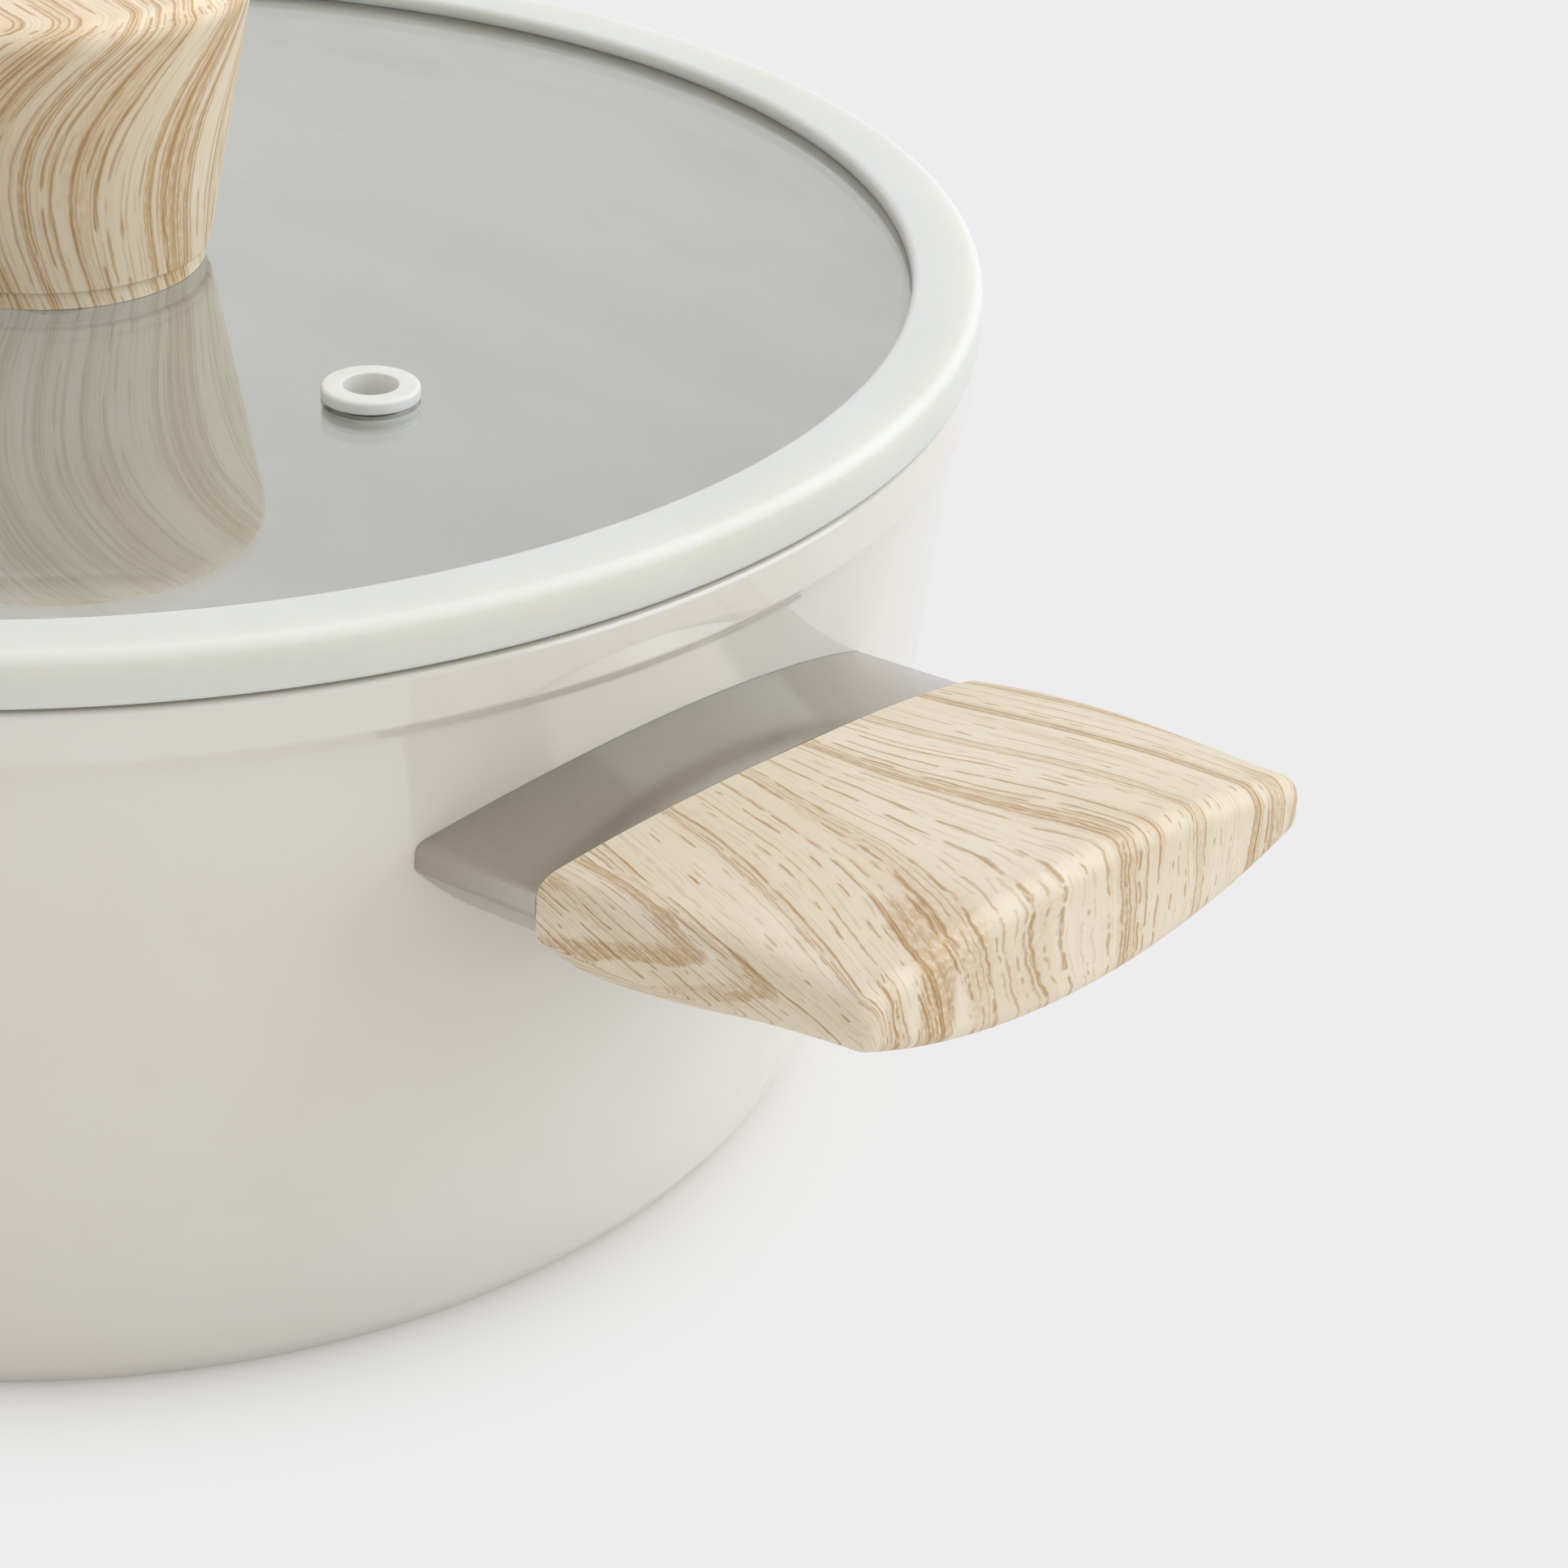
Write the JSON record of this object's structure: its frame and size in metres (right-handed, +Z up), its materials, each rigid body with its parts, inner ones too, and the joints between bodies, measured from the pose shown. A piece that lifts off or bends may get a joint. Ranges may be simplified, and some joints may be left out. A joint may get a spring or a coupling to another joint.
{
  "type": "two-ear casserole pot with glass lid",
  "caption": "Wide low cream pot with wood-effect ear handles on steel guards, and a flat glass lid in a silicone rim with a steam vent and a flared wood-effect knob.",
  "frame": {"origin": "on the pot's axis, at the level of its base", "axes": "+Z up, +X along one ear handle, towards the vent"},
  "size_m": [0.3512, 0.236, 0.1418],
  "materials": {
    "pot_enamel": "cast aluminium under a glossy cream ceramic coating",
    "base_steel": "turned steel disc",
    "guard_steel": "satin bright steel",
    "grip_wood": "moulded heat-proof plastic with a printed pale wood grain, satin",
    "knob_wood": "moulded heat-proof plastic with a printed pale wood grain, satin",
    "fastener_steel": "plain steel",
    "insert_brass": "plain brass",
    "lid_glass": "clear tempered glass",
    "lid_silicone": "off-white silicone, soft satin",
    "vent_silicone": "off-white silicone, soft satin",
    "gasket_silicone": "off-white silicone"
  },
  "bodies": {
    "pot": {"pot_body": "pot_enamel", "induction_base": "base_steel", "handle_guard_right": "guard_steel", "handle_grip_right": "grip_wood", "handle_screw_right": "fastener_steel", "handle_washer_right": "fastener_steel", "handle_guard_left": "guard_steel", "handle_grip_left": "grip_wood", "handle_screw_left": "fastener_steel", "handle_washer_left": "fastener_steel"},
    "lid": {"lid_glass": "lid_glass", "lid_rim": "lid_silicone", "vent_grommet": "vent_silicone", "knob_grip": "knob_wood", "knob_insert": "insert_brass", "knob_gasket": "gasket_silicone", "knob_under_gasket": "gasket_silicone", "knob_washer": "fastener_steel", "knob_screw": "fastener_steel"}
  },
  "joints": [
    {"name": "lid_lift", "type": "slide", "parent": "pot", "child": "lid", "axis": [0, 0, 1], "range_m": [0, 0.08]}
  ]
}
